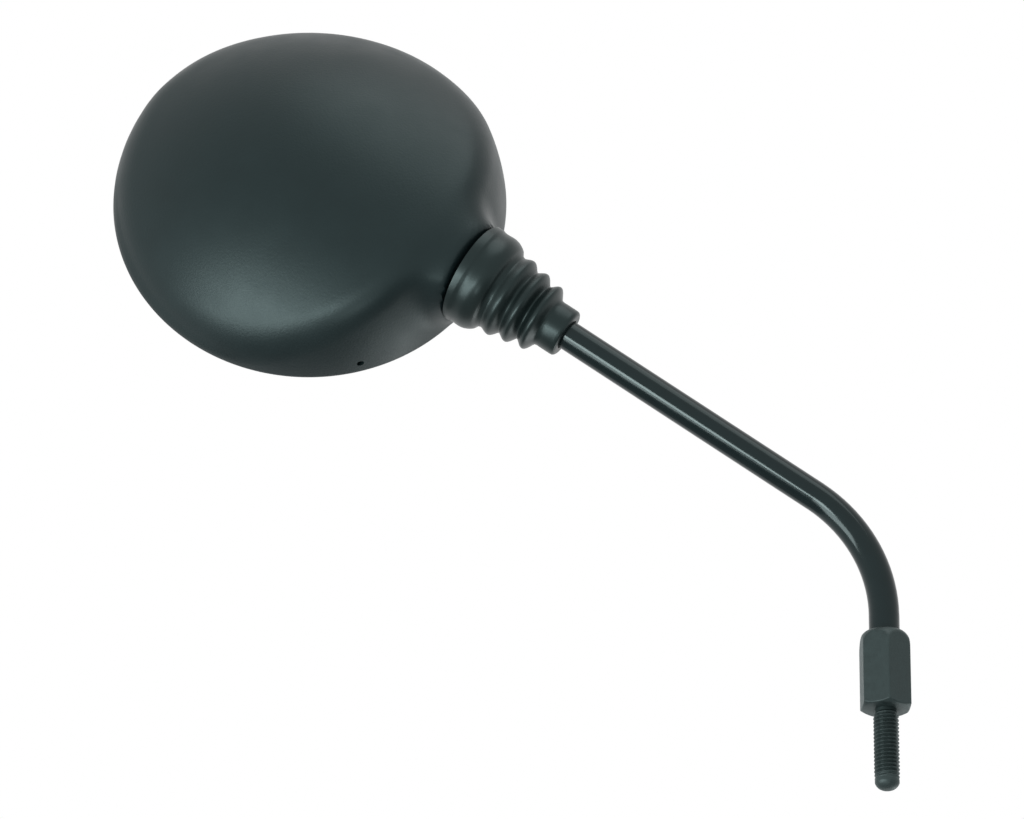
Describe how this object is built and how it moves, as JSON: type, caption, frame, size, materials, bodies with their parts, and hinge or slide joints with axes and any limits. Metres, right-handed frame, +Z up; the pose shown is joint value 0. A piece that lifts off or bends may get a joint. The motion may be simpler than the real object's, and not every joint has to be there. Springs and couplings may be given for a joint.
{
  "type": "motorcycle mirror",
  "caption": "Round rear-view mirror on a bent stem, with a ball joint under a rubber boot and a swivelling hexagon foot with a threaded stud.",
  "frame": {"origin": "on the stud's axis, at the hexagon's lower face that seats on the lever clamp", "axes": "+Z up the stud's axis into the stem, -X towards the head along the bend's plane, +Y the way the glass looks, back towards the rider"},
  "size_m": [0.2563, 0.0459, 0.2706],
  "materials": {
    "phosphated_steel": "matt, dark phosphate",
    "gloss_black_steel": "gloss black paint",
    "matt_black_plastic": "fine grained black plastic",
    "boot_rubber": "satin black rubber",
    "gasket_rubber": "soft black rubber",
    "foam": "dark closed-cell foam",
    "mirror_glass": "silvered convex glass",
    "nylon": "natural nylon",
    "spring_steel": "oiled spring steel",
    "zinc_steel": "bright zinc plating",
    "plain_steel": "ground steel",
    "bronze": "sintered bronze"
  },
  "bodies": {
    "foot": {"hex_foot": "phosphated_steel", "disc_spring": "spring_steel", "thrust_washer": "zinc_steel", "friction_ring": "bronze"},
    "stem": {"stem_rod": "gloss_black_steel", "pivot_ball": "plain_steel", "foot_collar": "plain_steel"},
    "pan_link": {"seat_cup": "nylon", "rubber_boot": "boot_rubber"},
    "tilt_link": {"clamp_cup": "nylon"},
    "head": {"housing_shell": "matt_black_plastic", "mirror_glass": "mirror_glass", "glass_gasket": "gasket_rubber", "foam_pad": "foam", "press_spring": "spring_steel", "clamp_bracket": "zinc_steel", "clamp_screw_1": "zinc_steel", "clamp_screw_2": "zinc_steel", "clamp_screw_3": "zinc_steel", "lock_washer_1": "zinc_steel", "lock_washer_2": "zinc_steel", "lock_washer_3": "zinc_steel"}
  },
  "joints": [
    {"name": "stem_swivel", "type": "hinge", "parent": "foot", "child": "stem", "pos_m": [0, 0, 0.018], "axis": [0, 0, 1], "continuous": true},
    {"name": "head_pan", "type": "hinge", "parent": "stem", "child": "pan_link", "pos_m": [-0.13075, 0, 0.14393], "axis": [0, -1, 0], "range_deg": [-12, 12], "deforming": ["rubber_boot"]},
    {"name": "head_tilt", "type": "hinge", "parent": "pan_link", "child": "tilt_link", "pos_m": [-0.13075, 0, 0.14393], "axis": [0.5519, 0, 0.8339], "range_deg": [-12, 12], "deforming": ["rubber_boot"]},
    {"name": "head_spin", "type": "hinge", "parent": "tilt_link", "child": "head", "pos_m": [-0.13075, 0, 0.14393], "axis": [0.8339, 0, -0.5519], "continuous": true, "deforming": ["rubber_boot"]}
  ]
}
